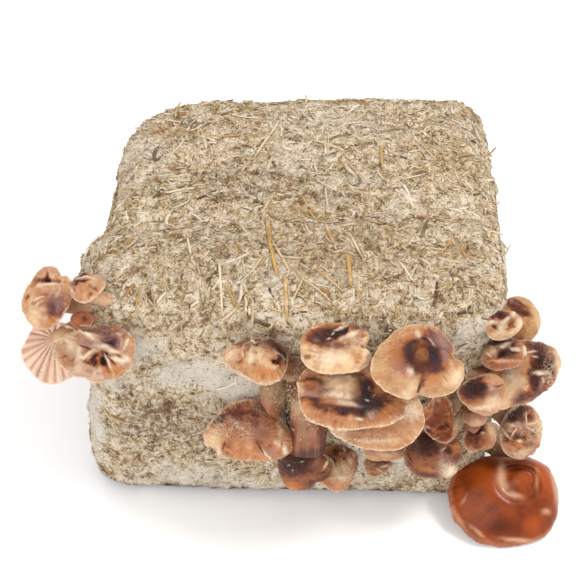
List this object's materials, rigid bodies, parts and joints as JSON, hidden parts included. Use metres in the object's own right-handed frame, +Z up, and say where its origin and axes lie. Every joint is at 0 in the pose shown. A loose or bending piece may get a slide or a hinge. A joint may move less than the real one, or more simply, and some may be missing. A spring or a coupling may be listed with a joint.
{
  "type": "mushroom grow block",
  "caption": "Pressed straw and sawdust block overgrown with white mycelium, with clusters of brown shiitake mushrooms growing from its front, corners and foot.",
  "frame": {"origin": "middle of the block's flat foot, on the surface it stands on", "axes": "+Z up, -Y towards the side with the large cluster, -X towards the side with the small cluster"},
  "size_m": [0.3057, 0.2496, 0.1729],
  "materials": {
    "substrate": "matt chopped straw and sawdust bound by white mycelium",
    "stem": "satin, fibrous, pinkish tan",
    "cap": "satin brown skin with pale cracks, dark middles and orange-tan rims",
    "foot_cap": "wet, glossy amber brown"
  },
  "bodies": {
    "root": {"foot_cap": "foot_cap", "foot_stem": "stem", "front_10_cap": "cap", "front_10_stem": "stem", "front_11_cap": "cap", "front_11_stem": "stem", "front_12_cap": "cap", "front_12_stem": "stem", "front_1_cap": "cap", "front_1_stem": "stem", "front_2_cap": "cap", "front_2_stem": "stem", "front_3_cap": "cap", "front_3_stem": "stem", "front_4_cap": "cap", "front_4_stem": "stem", "front_5_cap": "cap", "front_5_stem": "stem", "front_6_cap": "cap", "front_6_stem": "stem", "front_7_cap": "cap", "front_7_stem": "stem", "front_8_cap": "cap", "front_8_stem": "stem", "front_9_cap": "cap", "front_9_stem": "stem", "left_1_cap": "cap", "left_1_stem": "stem", "left_2_cap": "cap", "left_2_stem": "stem", "left_3_cap": "cap", "left_3_stem": "stem", "left_4_cap": "cap", "left_4_stem": "stem", "left_5_cap": "cap", "left_5_stem": "stem", "right_1_cap": "cap", "right_1_stem": "stem", "right_2_cap": "cap", "right_2_stem": "stem", "right_3_cap": "cap", "right_3_stem": "stem", "right_4_cap": "cap", "right_4_stem": "stem", "right_5_cap": "cap", "right_5_stem": "stem", "right_6_cap": "cap", "right_6_stem": "stem", "right_7_cap": "cap", "right_7_stem": "stem", "right_8_cap": "cap", "right_8_stem": "stem", "substrate_block": "substrate"}
  },
  "joints": []
}
